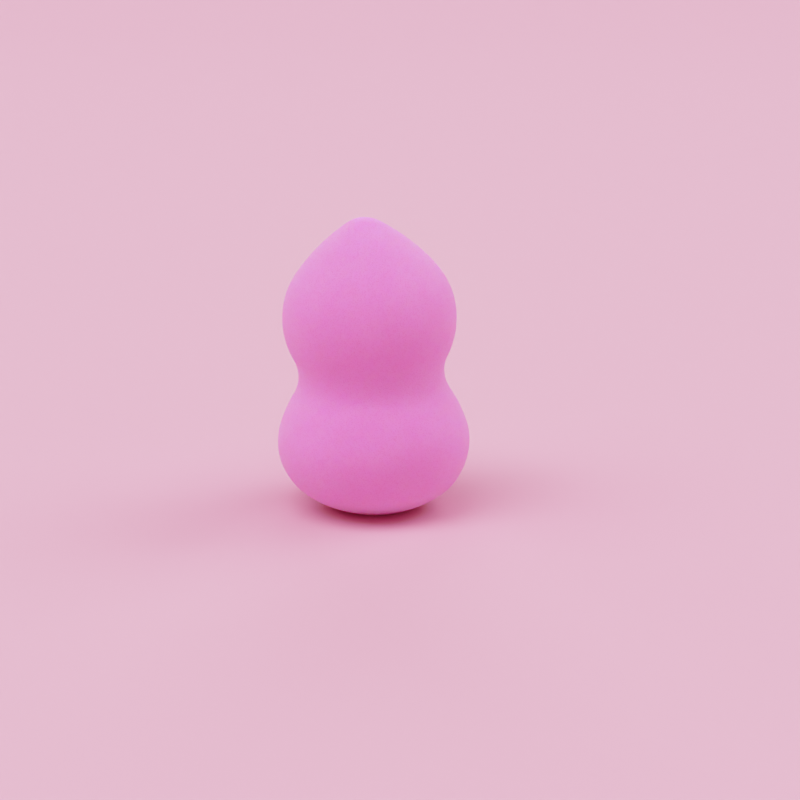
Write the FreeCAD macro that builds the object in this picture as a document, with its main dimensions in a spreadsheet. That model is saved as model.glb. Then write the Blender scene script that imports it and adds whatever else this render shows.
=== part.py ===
import FreeCAD, Part
import os
import math
import Sketcher

os.makedirs("parts", exist_ok=True)

V = FreeCAD.Vector
doc = FreeCAD.newDocument("makeup_sponge")

# ---------------------------------------------------------------- dimensions
# Millimetres and degrees. Heights run along the sponge's own axis, from the
# point where that axis meets the table.
DIMS = [
    ("apex_height", 59.22),      # top of the soft point
    ("tip_round", 6.7),          # radius of the blunt point
    ("flank_round", 36.6),       # gently curved flank under the point
    ("upper_radius", 17.45),     # widest radius of the upper lobe
    ("upper_height", 39.08),     # where the upper lobe is widest
    ("upper_round", 16.1),       # profile radius of the upper lobe
    ("waist_radius", 14.72),     # narrowest radius between the lobes
    ("waist_round", 7.76),       # hollow profile radius of the waist
    ("shoulder_round", 27.2),    # profile radius from the waist to the lower lobe
    ("lower_radius", 19.44),     # widest radius of the lower lobe
    ("lower_height", 13.83),     # where the lower lobe is widest
    ("lower_round", 12.57),      # profile radius of the lower lobe
    ("bottom_round", 24.6),      # profile radius of the round underside
    ("lean_angle", 1.8),         # lean of the axis toward -X, degrees
    ("axis_offset", 0.745),      # axis to the centre of the resting flat, along X
    ("foot_cut_radius", 14.0),   # reach of the cut that makes the resting flat
    ("foot_cut_depth", 6.0),     # depth of that cut below the table plane
    ("rest_edge_round", 5.0),    # soft edge round the resting flat
]
sheet = doc.addObject("Spreadsheet::Sheet", "dims")
D = {}
for i, (alias, value) in enumerate(DIMS):
    row = i + 1
    sheet.set("A%d" % row, alias)
    sheet.set("B%d" % row, str(value))
    sheet.setAlias("B%d" % row, alias)
    D[alias] = value
doc.recompute()


def origin_plane(body, role):
    for feature in body.Origin.OriginFeatures:
        if feature.Role == role:
            return feature
    raise RuntimeError("no origin plane " + role)


# ------------------------------------------------- solve the chain of arcs
def circle_meet(c1, r1, c2, r2, pick):
    """Points at r1 from c1 and r2 from c2; pick chooses one of the two."""
    dx, dy = c2[0] - c1[0], c2[1] - c1[1]
    d = math.hypot(dx, dy)
    a = (r1 * r1 - r2 * r2 + d * d) / (2.0 * d)
    h = math.sqrt(max(r1 * r1 - a * a, 0.0))
    mx, my = c1[0] + a * dx / d, c1[1] + a * dy / d
    both = [(mx - h * dy / d, my + h * dx / d), (mx + h * dy / d, my - h * dx / d)]
    return pick(both, key=lambda p: p[0])


def toward(c, p, r):
    d = math.hypot(p[0] - c[0], p[1] - c[1])
    return (c[0] + r * (p[0] - c[0]) / d, c[1] + r * (p[1] - c[1]) / d)


def away(c, p, r):
    d = math.hypot(p[0] - c[0], p[1] - c[1])
    return (c[0] - r * (p[0] - c[0]) / d, c[1] - r * (p[1] - c[1]) / d)


R1, R2, R3 = D["tip_round"], D["flank_round"], D["upper_round"]
R4, R5 = D["waist_round"], D["shoulder_round"]
R6, R7 = D["lower_round"], D["bottom_round"]
C1 = (0.0, D["apex_height"] - R1)
C3 = (D["upper_radius"] - R3, D["upper_height"])
C2 = circle_meet(C1, R2 - R1, C3, R2 - R3, min)
x4 = D["waist_radius"] + R4
C4 = (x4, C3[1] - math.sqrt((R3 + R4) ** 2 - (x4 - C3[0]) ** 2))
C6 = (D["lower_radius"] - R6, D["lower_height"])
C5 = circle_meet(C4, R4 + R5, C6, R5 - R6, min)
C7 = (0.0, C6[1] + math.sqrt((R7 - R6) ** 2 - C6[0] ** 2))
P0 = (0.0, D["apex_height"])
P1 = away(C2, C1, -R2)
P2 = away(C2, C3, -R2)
P3 = toward(C3, C4, R3)
P4 = toward(C4, C5, R4)
P5 = away(C5, C6, -R5)
P6 = away(C7, C6, -R7)
P7 = (0.0, C7[1] - R7)

# --------------------------------------------------------------- the sponge
body = doc.addObject("PartDesign::Body", "sponge_body")
body.Label = "sponge_body"
doc.recompute()

profile = body.newObject("Sketcher::SketchObject", "gourd_profile")
profile.AttachmentSupport = [(origin_plane(body, "XZ_Plane"), "")]
profile.MapMode = "FlatFace"
profile.AttachmentOffset = FreeCAD.Placement(
    V(D["axis_offset"], 0, 0), FreeCAD.Rotation(V(0, 0, 1), D["lean_angle"]))
profile.setExpression("AttachmentOffset.Base.x", "dims.axis_offset")
profile.setExpression("AttachmentOffset.Rotation.Angle", "dims.lean_angle")


def arc(c, r, start, end):
    a0 = math.atan2(start[1] - c[1], start[0] - c[0])
    a1 = math.atan2(end[1] - c[1], end[0] - c[0])
    if a1 < a0:
        a1 += 2.0 * math.pi
    circle = Part.Circle(V(c[0], c[1], 0), V(0, 0, 1), r)
    return profile.addGeometry(Part.ArcOfCircle(circle, a0, a1), False)


tip = arc(C1, R1, P1, P0)
flank = arc(C2, R2, P2, P1)
upper = arc(C3, R3, P3, P2)
waist = arc(C4, R4, P3, P4)
shoulder = arc(C5, R5, P5, P4)
lower = arc(C6, R6, P6, P5)
bottom = arc(C7, R7, P7, P6)
spine = profile.addGeometry(
    Part.LineSegment(V(P7[0], P7[1], 0), V(P0[0], P0[1], 0)), False)

START, END, MID = 1, 2, 3
ORIGIN, V_AXIS = -1, -2


def tie(name, *args):
    index = profile.addConstraint(Sketcher.Constraint(*args))
    if name:
        profile.renameConstraint(index, name)
    return index


def bind(name, expression):
    profile.setExpression("Constraints." + name, expression)


tie("", "Tangent", tip, START, flank, END)
tie("", "Tangent", flank, START, upper, END)
tie("", "Tangent", upper, START, waist, START)
tie("", "Tangent", waist, END, shoulder, END)
tie("", "Tangent", shoulder, START, lower, END)
tie("", "Tangent", lower, START, bottom, END)
tie("", "Coincident", spine, END, tip, END)
tie("", "Coincident", spine, START, bottom, START)
tie("", "PointOnObject", tip, END, V_AXIS)
tie("", "PointOnObject", tip, MID, V_AXIS)
tie("", "PointOnObject", bottom, START, V_AXIS)
tie("", "PointOnObject", bottom, MID, V_AXIS)

for name, geo, value in (
        ("tip_round", tip, R1), ("flank_round", flank, R2), ("upper_round", upper, R3),
        ("waist_round", waist, R4), ("shoulder_round", shoulder, R5),
        ("lower_round", lower, R6), ("bottom_round", bottom, R7)):
    tie(name, "Radius", geo, value)
    bind(name, "dims." + name)

tie("apex_height", "DistanceY", ORIGIN, 1, tip, END, P0[1])
bind("apex_height", "dims.apex_height")
tie("upper_centre_x", "DistanceX", ORIGIN, 1, upper, MID, C3[0])
bind("upper_centre_x", "dims.upper_radius - dims.upper_round")
tie("upper_height", "DistanceY", ORIGIN, 1, upper, MID, C3[1])
bind("upper_height", "dims.upper_height")
tie("waist_centre_x", "DistanceX", ORIGIN, 1, waist, MID, C4[0])
bind("waist_centre_x", "dims.waist_radius + dims.waist_round")
tie("lower_centre_x", "DistanceX", ORIGIN, 1, lower, MID, C6[0])
bind("lower_centre_x", "dims.lower_radius - dims.lower_round")
tie("lower_height", "DistanceY", ORIGIN, 1, lower, MID, C6[1])
bind("lower_height", "dims.lower_height")
doc.recompute()

# The moulded gourd, turned about its own leaning axis.
gourd = body.newObject("PartDesign::Revolution", "moulded_gourd")
gourd.Profile = profile
gourd.ReferenceAxis = (profile, ["V_Axis"])
gourd.Angle = 360.0
body.Tip = gourd
doc.recompute()
moulded_volume = gourd.Shape.Volume

# The resting flat: everything below the table plane is taken off.
foot = body.newObject("Sketcher::SketchObject", "resting_outline")
foot.AttachmentSupport = [(origin_plane(body, "XY_Plane"), "")]
foot.MapMode = "FlatFace"
ring = foot.addGeometry(Part.Circle(V(0, 0, 0), V(0, 0, 1), D["foot_cut_radius"]), False)
foot.addConstraint(Sketcher.Constraint("Coincident", ring, 3, -1, 1))
index = foot.addConstraint(Sketcher.Constraint("Radius", ring, D["foot_cut_radius"]))
foot.renameConstraint(index, "foot_cut_radius")
foot.setExpression("Constraints.foot_cut_radius", "dims.foot_cut_radius")
doc.recompute()

flat = body.newObject("PartDesign::Pocket", "resting_flat")
flat.Profile = foot
flat.setExpression("Length", "dims.foot_cut_depth")
body.Tip = flat
doc.recompute()
if not flat.Shape.Volume < moulded_volume - 1.0:
    raise RuntimeError("the resting flat cut nothing")

# A soft edge where the flat meets the round underside.
edges = []
for number, edge in enumerate(flat.Shape.Edges, start=1):
    if all(abs(edge.valueAt(edge.FirstParameter
               + f * (edge.LastParameter - edge.FirstParameter)).z) < 1e-5
           for f in (0.0, 0.25, 0.5, 0.75, 1.0)):
        edges.append("Edge%d" % number)
if not edges:
    raise RuntimeError("no edge round the resting flat")
soft = body.newObject("PartDesign::Fillet", "resting_edge")
soft.Base = (flat, edges)
soft.Radius = D["rest_edge_round"]
soft.setExpression("Radius", "dims.rest_edge_round")
body.Tip = soft
doc.recompute()

# -------------------------------------------------------------------- checks
for obj in doc.Objects:
    if "Invalid" in obj.State or "Error" in obj.State:
        raise RuntimeError("%s is in state %s" % (obj.Name, obj.State))
if profile.solve() != 0:
    raise RuntimeError("the profile sketch does not solve")

shape = body.Shape
if shape.isNull() or not shape.isValid() or len(shape.Solids) != 1:
    raise RuntimeError("the sponge is not one valid solid")
box = shape.BoundBox
print("sponge_body volume %.1f mm3, box %.3f..%.3f, %.3f..%.3f, %.3f..%.3f" % (
    shape.Volume, box.XMin, box.XMax, box.YMin, box.YMax, box.ZMin, box.ZMax))
print("moulded volume %.1f, centre of mass %s" % (moulded_volume, shape.CenterOfGravity))
for face in shape.Faces:
    if face.Surface.TypeId == "Part::GeomPlane":
        b = face.BoundBox
        print("flat face area %.2f, x %.3f..%.3f, y %.3f..%.3f, z %.4f" % (
            face.Area, b.XMin, b.XMax, b.YMin, b.YMax, b.ZMax))
shape.exportStep("parts/sponge_body.step")
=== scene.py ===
import math

import bpy
import numpy as np
from mathutils import Matrix, Vector


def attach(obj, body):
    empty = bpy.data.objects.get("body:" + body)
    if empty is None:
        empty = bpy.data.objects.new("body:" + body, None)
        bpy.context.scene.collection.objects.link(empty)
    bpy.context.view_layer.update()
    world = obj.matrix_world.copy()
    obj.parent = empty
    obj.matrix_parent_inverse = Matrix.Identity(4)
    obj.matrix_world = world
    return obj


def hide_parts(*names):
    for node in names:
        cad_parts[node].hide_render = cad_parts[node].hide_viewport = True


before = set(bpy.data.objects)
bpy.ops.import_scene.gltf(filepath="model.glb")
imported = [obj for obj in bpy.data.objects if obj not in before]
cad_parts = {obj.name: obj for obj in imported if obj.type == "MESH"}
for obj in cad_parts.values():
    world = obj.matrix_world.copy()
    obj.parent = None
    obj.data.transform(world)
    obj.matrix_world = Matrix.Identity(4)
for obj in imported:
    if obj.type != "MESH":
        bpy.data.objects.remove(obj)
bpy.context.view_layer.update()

MM = 0.001

# ------------------------------------------------------------------ profile
# The same chain of seven arcs as the CAD sketch, in millimetres along the
# sponge's own axis: tip, flank, upper lobe, waist, shoulder, lower lobe, bottom.
APEX, R_TIP, R_FLANK = 59.22, 6.7, 36.6
UPPER_R, UPPER_H, R_UPPER = 17.45, 39.08, 16.1
WAIST_R, R_WAIST, R_SHOULDER = 14.72, 7.76, 27.2
LOWER_R, LOWER_H, R_LOWER = 19.44, 13.83, 12.57
R_BOTTOM = 24.6
LEAN, AXIS_X = math.radians(1.8), 0.745


def meet(c1, r1, c2, r2):
    """The point at r1 from c1 and r2 from c2 that lies nearer the axis."""
    d = np.subtract(c2, c1)
    n = math.hypot(*d)
    a = (r1 * r1 - r2 * r2 + n * n) / (2 * n)
    h = math.sqrt(max(r1 * r1 - a * a, 0.0))
    m = np.add(c1, a * d / n)
    both = [m + h * np.array([-d[1], d[0]]) / n, m - h * np.array([-d[1], d[0]]) / n]
    return min(both, key=lambda p: p[0])


def along(c, p, r):
    d = np.subtract(p, c)
    return np.add(c, r * d / math.hypot(*d))


C1 = np.array([0.0, APEX - R_TIP])
C3 = np.array([UPPER_R - R_UPPER, UPPER_H])
C2 = meet(C1, R_FLANK - R_TIP, C3, R_FLANK - R_UPPER)
x4 = WAIST_R + R_WAIST
C4 = np.array([x4, C3[1] - math.sqrt((R_UPPER + R_WAIST) ** 2 - (x4 - C3[0]) ** 2)])
C6 = np.array([LOWER_R - R_LOWER, LOWER_H])
C5 = meet(C4, R_WAIST + R_SHOULDER, C6, R_SHOULDER - R_LOWER)
C7 = np.array([0.0, C6[1] + math.sqrt((R_BOTTOM - R_LOWER) ** 2 - C6[0] ** 2)])
JOINTS = [
    np.array([0.0, APEX]), along(C2, C1, R_FLANK), along(C2, C3, R_FLANK),
    along(C3, C4, R_UPPER), along(C4, C5, R_WAIST), along(C5, C6, R_SHOULDER),
    along(C7, C6, R_BOTTOM), np.array([0.0, C7[1] - R_BOTTOM]),
]


def profile(step=0.02):
    """Radius and height from the apex to the bottom, closely and evenly spaced."""
    rows = []
    for c, a, b in zip((C1, C2, C3, C4, C5, C6, C7), JOINTS, JOINTS[1:]):
        t0 = math.atan2(a[1] - c[1], a[0] - c[0])
        t1 = math.atan2(b[1] - c[1], b[0] - c[0])
        while t1 - t0 > math.pi:
            t1 -= 2 * math.pi
        while t1 - t0 < -math.pi:
            t1 += 2 * math.pi
        r = math.hypot(a[0] - c[0], a[1] - c[1])
        n = max(8, int(abs(t1 - t0) * r / step))
        t = np.linspace(t0, t1, n, endpoint=False)
        rows.append(np.stack([c[0] + r * np.cos(t), c[1] + r * np.sin(t)], -1))
    rows.append(JOINTS[-1][None])
    rows = np.vstack(rows)
    rows[0, 0] = rows[-1, 0] = 0.0
    return rows


PROFILE = profile()
ARC = np.concatenate([[0.0], np.cumsum(np.hypot(*np.diff(PROFILE, axis=0).T))])


# --------------------------------------------------------------------- mesh
# A box of six grids blown up onto the gourd, so that there is no pole and the
# faces stay close to square everywhere.
N_ROUND, N_UP = 110, 168


def unit_grids():
    """Directions on the unit sphere for six grids, with merged edges, and quads with grid coordinates."""
    a = np.tan(np.linspace(-math.pi / 4, math.pi / 4, N_ROUND + 1))
    b = np.tan(np.linspace(-math.pi / 4, math.pi / 4, N_UP + 1))
    grids = []
    for k in range(4):
        u, v = np.meshgrid(a, b, indexing="ij")
        q = k * math.pi / 2
        x, y = np.cos(q) - u * np.sin(q), np.sin(q) + u * np.cos(q)
        grids.append(np.stack([x, y, v], -1))
    u, v = np.meshgrid(a, a, indexing="ij")
    grids.append(np.stack([u, v, np.ones_like(u)], -1))
    grids.append(np.stack([u, -v, -np.ones_like(u)], -1))
    return grids


def build_topology():
    points, quads, uvs = [], [], []
    slots = [(0.005 + 0.2475 * k, 0.335, 0.2425, 0.66) for k in range(4)]
    slots += [(0.005, 0.005, 0.49, 0.32), (0.505, 0.005, 0.49, 0.32)]
    start = 0
    for grid, (u0, v0, du, dv) in zip(unit_grids(), slots):
        n, m = grid.shape[0] - 1, grid.shape[1] - 1
        ids = start + np.arange((n + 1) * (m + 1)).reshape(n + 1, m + 1)
        points.append(grid.reshape(-1, 3))
        quads.append(np.stack([ids[:-1, :-1], ids[1:, :-1], ids[1:, 1:], ids[:-1, 1:]], -1).reshape(-1, 4))
        gu, gv = np.meshgrid(np.arange(n + 1) / n, np.arange(m + 1) / m, indexing="ij")
        flat = np.stack([u0 + du * gu, v0 + dv * gv], -1)
        uvs.append(np.stack([flat[:-1, :-1], flat[1:, :-1], flat[1:, 1:], flat[:-1, 1:]], 2).reshape(-1, 4, 2))
        start += points[-1].shape[0]
    points = np.vstack(points)
    points /= np.linalg.norm(points, axis=1, keepdims=True)
    quads, uvs = np.vstack(quads), np.vstack(uvs)
    key = np.round(points * 1e6).astype(np.int64)
    _, first, inverse = np.unique(key, axis=0, return_index=True, return_inverse=True)
    return points[first], inverse.reshape(-1)[quads], uvs


def smooth_noise(p, seed):
    """Seeded, smooth noise in -1..1 at points p, from a lattice of fixed random values."""
    lattice = np.random.default_rng(seed).uniform(-1, 1, (32, 32, 32))
    base = np.floor(p).astype(int)
    f = p - base
    f = f * f * f * (f * (f * 6 - 15) + 10)
    out = np.zeros(len(p))
    for i in (0, 1):
        for j in (0, 1):
            for k in (0, 1):
                w = ((f[:, 0] if i else 1 - f[:, 0]) * (f[:, 1] if j else 1 - f[:, 1])
                     * (f[:, 2] if k else 1 - f[:, 2]))
                q = (base + (i, j, k)) % 32
                out += w * lattice[q[:, 0], q[:, 1], q[:, 2]]
    return out


def ease(x, lo, hi):
    t = np.clip((x - lo) / (hi - lo), 0, 1)
    return t * t * (3 - 2 * t)


def gourd_points(direction):
    """Points on the leaning, resting, slightly uneven sponge, in millimetres."""
    theta = np.arccos(np.clip(direction[:, 2], -1, 1))
    phi = np.arctan2(direction[:, 1], direction[:, 0])
    # half equal-area, half even spacing along the profile
    mid = 0.5 * (PROFILE[1:, 0] + PROFILE[:-1, 0])
    area = np.concatenate([[0.0], np.cumsum(mid * np.diff(ARC))])
    s_area = np.interp((1 - np.cos(theta)) / 2, area / area[-1], ARC)
    s_even = theta / math.pi * ARC[-1]
    s = 0.5 * s_area + 0.5 * s_even
    r = np.interp(s, ARC, PROFILE[:, 0])
    t = np.interp(s, ARC, PROFILE[:, 1])
    # outward normal of the profile
    tangent = np.gradient(PROFILE, ARC, axis=0)
    nr = np.interp(s, ARC, -tangent[:, 1])
    nt = np.interp(s, ARC, tangent[:, 0])
    local = np.stack([r * np.cos(phi), r * np.sin(phi), t], -1)
    normal = np.stack([nr * np.cos(phi), nr * np.sin(phi), nt], -1)
    # moulded foam is never perfectly round: broad, shallow unevenness
    wave = (0.10 * smooth_noise(local / 13.0 + 7.3, 11) + 0.045 * smooth_noise(local / 5.0 + 3.1, 12)
            + 0.014 * smooth_noise(local / 1.5 + 1.7, 13) + 0.010 * smooth_noise(local / 0.8 + 5.9, 14))
    calm = ease(t, 0.6, 5.0)
    local = local + normal * (wave * calm)[:, None]
    c, sn = math.cos(LEAN), math.sin(LEAN)
    x = AXIS_X + c * local[:, 0] - sn * local[:, 2]
    z = sn * local[:, 0] + c * local[:, 2]
    y = local[:, 1]
    # the soft point droops a little further toward the lean, and stands a touch higher
    x = x - 0.65 * np.clip((z - 48.0) / 12.0, 0, 1) ** 2.0
    z = z + 0.22 * np.clip((z - 51.0) / 8.0, 0, 1) ** 2.0
    # and the foot settles a little to the right
    z = z - 0.018 * (x - 0.35) * ease(-z, -13.0, -3.0)
    # flat only where it rests, with a soft edge
    w = 0.16
    z = np.where(z > w, z, np.where(z < -w, 0.0, (z + w) ** 2 / (4 * w)))
    return np.stack([x, y, z], -1)


directions, quads, uvs = build_topology()
points = gourd_points(directions) * MM

mesh = bpy.data.meshes.new("makeup_sponge")
mesh.vertices.add(len(points))
mesh.vertices.foreach_set("co", points.astype(np.float32).ravel())
mesh.loops.add(quads.size)
mesh.loops.foreach_set("vertex_index", quads.astype(np.int32).ravel())
mesh.polygons.add(len(quads))
mesh.polygons.foreach_set("loop_start", np.arange(0, quads.size, 4, dtype=np.int32))
mesh.update(calc_edges=True)
mesh.validate()
layer = mesh.uv_layers.new(name="OFBake")
layer.data.foreach_set("uv", uvs.astype(np.float32).ravel())
mesh.polygons.foreach_set("use_smooth", np.ones(len(quads), bool))
mesh.update()
sponge = bpy.data.objects.new("sponge", mesh)
bpy.context.collection.objects.link(sponge)


# ----------------------------------------------------------------- material
def new_material(name):
    material = bpy.data.materials.new(name)
    material.use_nodes = True
    tree = material.node_tree
    return material, tree, tree.nodes["Principled BSDF"]


def node(tree, kind, values=None, **settings):
    n = tree.nodes.new(kind)
    for key, value in settings.items():
        setattr(n, key, value)
    for key, value in (values or {}).items():
        n.inputs[key].default_value = value
    return n


def foam_material():
    material, tree, bsdf = new_material("pink_foam")
    link = tree.links.new
    place = node(tree, "ShaderNodeTexCoord").outputs["Object"]

    # fine open cells, a tenth to a quarter of a millimetre wide, each of its own size
    warp = node(tree, "ShaderNodeTexNoise", {"Scale": 1500.0, "Detail": 2.0})
    link(place, warp.inputs["Vector"])
    bent = node(tree, "ShaderNodeMixRGB", {"Fac": 0.00015}, blend_type="ADD")
    link(place, bent.inputs[1])
    link(warp.outputs["Color"], bent.inputs[2])
    cells = node(tree, "ShaderNodeTexVoronoi", {"Scale": 3900.0, "Randomness": 1.0})
    link(bent.outputs[0], cells.inputs["Vector"])
    width = node(tree, "ShaderNodeMath", {1: 0.50, 2: 0.26}, operation="MULTIPLY_ADD")
    link(cells.outputs["Color"], width.inputs[0])
    fine = node(tree, "ShaderNodeMapRange", {"From Min": 0.04, "To Min": 1.0, "To Max": 0.0},
                interpolation_type="SMOOTHSTEP")
    link(cells.outputs["Distance"], fine.inputs["Value"])
    link(width.outputs[0], fine.inputs["From Max"])
    # here and there a larger one
    wide = node(tree, "ShaderNodeTexVoronoi", {"Scale": 950.0, "Randomness": 1.0})
    link(bent.outputs[0], wide.inputs["Vector"])
    chosen = node(tree, "ShaderNodeMapRange", {"From Min": 0.45, "From Max": 0.8, "To Min": 0.0, "To Max": 0.5})
    link(wide.outputs["Color"], chosen.inputs["Value"])
    mouth = node(tree, "ShaderNodeMapRange", {"From Min": 0.04, "From Max": 0.24, "To Min": 1.0, "To Max": 0.0},
                 interpolation_type="SMOOTHSTEP")
    link(wide.outputs["Distance"], mouth.inputs["Value"])
    large = node(tree, "ShaderNodeMath", operation="MULTIPLY")
    link(chosen.outputs[0], large.inputs[0])
    link(mouth.outputs[0], large.inputs[1])
    pits = node(tree, "ShaderNodeMath", {1: 0.9}, operation="MULTIPLY_ADD", use_clamp=True)
    link(fine.outputs[0], pits.inputs[0])
    link(large.outputs[0], pits.inputs[2])
    # velvet grain between them
    grain = node(tree, "ShaderNodeTexNoise", {"Scale": 1900.0, "Detail": 4.0, "Roughness": 0.6})
    link(place, grain.inputs["Vector"])
    height = node(tree, "ShaderNodeMath", {1: -0.8}, operation="MULTIPLY_ADD")
    link(pits.outputs[0], height.inputs[0])
    link(grain.outputs["Fac"], height.inputs[2])
    bump = node(tree, "ShaderNodeBump", {"Strength": 0.6, "Distance": 0.00008})
    link(height.outputs[0], bump.inputs["Height"])
    link(bump.outputs["Normal"], bsdf.inputs["Normal"])

    # colour: dyed through, faint cloudy variation, and painted shade that makes the cells darker
    cloud = node(tree, "ShaderNodeTexNoise", {"Scale": 110.0, "Detail": 3.0, "Roughness": 0.55})
    link(place, cloud.inputs["Vector"])
    tone = node(tree, "ShaderNodeValToRGB")
    tone.color_ramp.elements[0].position = 0.3
    tone.color_ramp.elements[0].color = (0.818, 0.356, 0.731, 1)
    tone.color_ramp.elements[1].position = 0.7
    tone.color_ramp.elements[1].color = (0.832, 0.386, 0.759, 1)
    link(cloud.outputs["Fac"], tone.inputs["Fac"])
    # painted shade: the cells are mixed toward a darker, deeper pink, standing in for the shade inside the open
    # pores
    cell_shade_amount = node(tree, "ShaderNodeMath", {1: 0.64}, operation="MULTIPLY")
    link(pits.outputs[0], cell_shade_amount.inputs[0])
    painted_cell_shade = node(tree, "ShaderNodeMixRGB", {"Color2": (0.72, 0.235, 0.58, 1)})
    link(cell_shade_amount.outputs[0], painted_cell_shade.inputs["Fac"])
    link(tone.outputs["Color"], painted_cell_shade.inputs["Color1"])
    link(painted_cell_shade.outputs[0], bsdf.inputs["Base Color"])

    rough = node(tree, "ShaderNodeMapRange", {"From Min": 0.3, "From Max": 0.7, "To Min": 0.82, "To Max": 0.95})
    link(grain.outputs["Fac"], rough.inputs["Value"])
    link(rough.outputs[0], bsdf.inputs["Roughness"])
    bsdf.inputs["Specular IOR Level"].default_value = 0.2
    bsdf.inputs["Subsurface Weight"].default_value = 1.0
    bsdf.inputs["Subsurface Radius"].default_value = (1.0, 0.15, 0.5)
    bsdf.inputs["Subsurface Scale"].default_value = 0.003
    bsdf.inputs["Sheen Weight"].default_value = 0.12
    bsdf.inputs["Sheen Roughness"].default_value = 0.5
    bsdf.inputs["Sheen Tint"].default_value = (0.95, 0.84, 1.0, 1)
    return material


mesh.materials.append(foam_material())
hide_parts("sponge_body")
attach(sponge, "root")

# -------------------------------------------------------------------- stage
# A plain floor that sweeps up gently, well away from the sponge, so that there is no horizon line.
FLAT, RIM, RISE, TURN = 1.6, 3.6, 1.0, 128
radii = np.concatenate([[0.4, 0.9], np.linspace(FLAT, RIM, 33)])
rings = [[(r * math.cos(a), r * math.sin(a), RISE * (max(r - FLAT, 0.0) / (RIM - FLAT)) ** 2.2)
          for a in np.linspace(0, 2 * math.pi, TURN, endpoint=False)] for r in radii]
floor_faces = [list(range(TURN))]
for k in range(len(rings) - 1):
    for j in range(TURN):
        i = (j + 1) % TURN
        floor_faces.append([k * TURN + j, (k + 1) * TURN + j, (k + 1) * TURN + i, k * TURN + i])
floor_mesh = bpy.data.meshes.new("floor")
floor_mesh.from_pydata([p for r in rings for p in r], [], floor_faces)
floor_mesh.polygons.foreach_set("use_smooth", np.ones(len(floor_faces), bool))
floor_mesh.update()
floor = bpy.data.objects.new("floor", floor_mesh)
bpy.context.collection.objects.link(floor)
floor_material, floor_tree, floor_bsdf = new_material("floor_pale")
floor_bsdf.inputs["Base Color"].default_value = (0.75, 0.51, 0.589, 1)
floor_bsdf.inputs["Roughness"].default_value = 0.95
floor_bsdf.inputs["Specular IOR Level"].default_value = 0.1
floor_mesh.materials.append(floor_material)

# Soft studio light: broad white lamps high in front, on both sides and low behind.
def soft_lamp(name, azimuth, elevation, strength, width=36):
    """Azimuth 0 shines from the camera's side, 90 from the right; degrees."""
    lamp = bpy.data.lights.new(name, "SUN")
    lamp.energy = strength
    lamp.angle = math.radians(width)
    a, e = math.radians(azimuth), math.radians(elevation)
    toward = Vector((-math.sin(a) * math.cos(e), math.cos(a) * math.cos(e), -math.sin(e)))
    obj = bpy.data.objects.new(name, lamp)
    obj.rotation_euler = toward.to_track_quat("-Z", "Y").to_euler()
    bpy.context.collection.objects.link(obj)


soft_lamp("lamp_high_left", -45, 66, 1.105)
soft_lamp("lamp_high_right", 45, 66, 0.469)
soft_lamp("lamp_left", -90, 42, 0.319)
soft_lamp("lamp_near_left", -60, 42, 0.346)
soft_lamp("lamp_right", 90, 42, 0.396)
soft_lamp("lamp_front", 0, 42, 0.163)
soft_lamp("lamp_far_right", 120, 42, 0.606)
soft_lamp("lamp_far_left", -120, 42, 0.096)
soft_lamp("lamp_low_right", 45, 20, 0.104, 32)
soft_lamp("lamp_back", 180, 20, 0.718, 32)
soft_lamp("lamp_back_left", -135, 20, 0.137, 32)

scene = bpy.context.scene
world = bpy.data.worlds.new("surround")
scene.world = world
world.use_nodes = True
backdrop = world.node_tree.nodes["Background"]
backdrop.inputs["Color"].default_value = (1.0, 0.8, 0.9, 1)
backdrop.inputs["Strength"].default_value = 0.02

# A photograph's response: bright red saturates softly and blue a little, so that shade turns warm.
view = scene.view_settings
view.view_transform = "Standard"
view.look = "None"
view.use_curve_mapping = True
response = view.curve_mapping
response.white_level = (2.0, 2.0, 2.0)


def soften(curve, gain, bend, toe=1.0, reach=1.0):
    """Sets output = gain * light / (1 + bend * light) for light from 0 to 2, times toe in the deepest shade."""
    steps = [0.0, 0.02, 0.05, 0.1, 0.15, 0.2, 0.3, 0.45, 0.65, 1.0, 1.4, 2.0]
    while len(curve.points) < len(steps):
        curve.points.new(0.5, 0.5)
    for point, light in zip(curve.points, steps):
        low = toe + (1 - toe) * min(light / reach, 1.0)
        point.location = (light / 2.0, low * gain * light / (1 + bend * light))
        point.handle_type = "AUTO_CLAMPED"


soften(response.curves[0], 2.47, 1.854)
soften(response.curves[1], 0.992, 0.0, 0.25, 0.1)
soften(response.curves[2], 1.331, 0.452, 0.45, 0.2)
response.update()

# ------------------------------------------------------------------- camera
ELEVATION, DISTANCE = math.radians(13.0), 379.85 * MM
PAN, TILT = math.radians(0.7435), math.radians(-1.137)
aim = Vector((0.666 * MM, 0.0, 30.0 * MM))
forward = Vector((0.0, math.cos(ELEVATION), -math.sin(ELEVATION)))
right = Vector((1.0, 0.0, 0.0))
up = right.cross(forward)
eye = aim - forward * DISTANCE
right_2 = math.cos(PAN) * right - math.sin(PAN) * forward
ahead = math.sin(PAN) * right + math.cos(PAN) * forward
up_2 = math.cos(TILT) * up - math.sin(TILT) * ahead
ahead_2 = math.sin(TILT) * up + math.cos(TILT) * ahead
lens = bpy.data.cameras.new("camera")
lens.lens, lens.sensor_width = 85.0, 36.0
lens.clip_start, lens.clip_end = 0.01, 50.0
camera = bpy.data.objects.new("camera", lens)
camera.matrix_world = Matrix((
    (right_2.x, up_2.x, -ahead_2.x, eye.x),
    (right_2.y, up_2.y, -ahead_2.y, eye.y),
    (right_2.z, up_2.z, -ahead_2.z, eye.z),
    (0, 0, 0, 1)))
bpy.context.collection.objects.link(camera)
scene.camera = camera

bpy.context.view_layer.update()
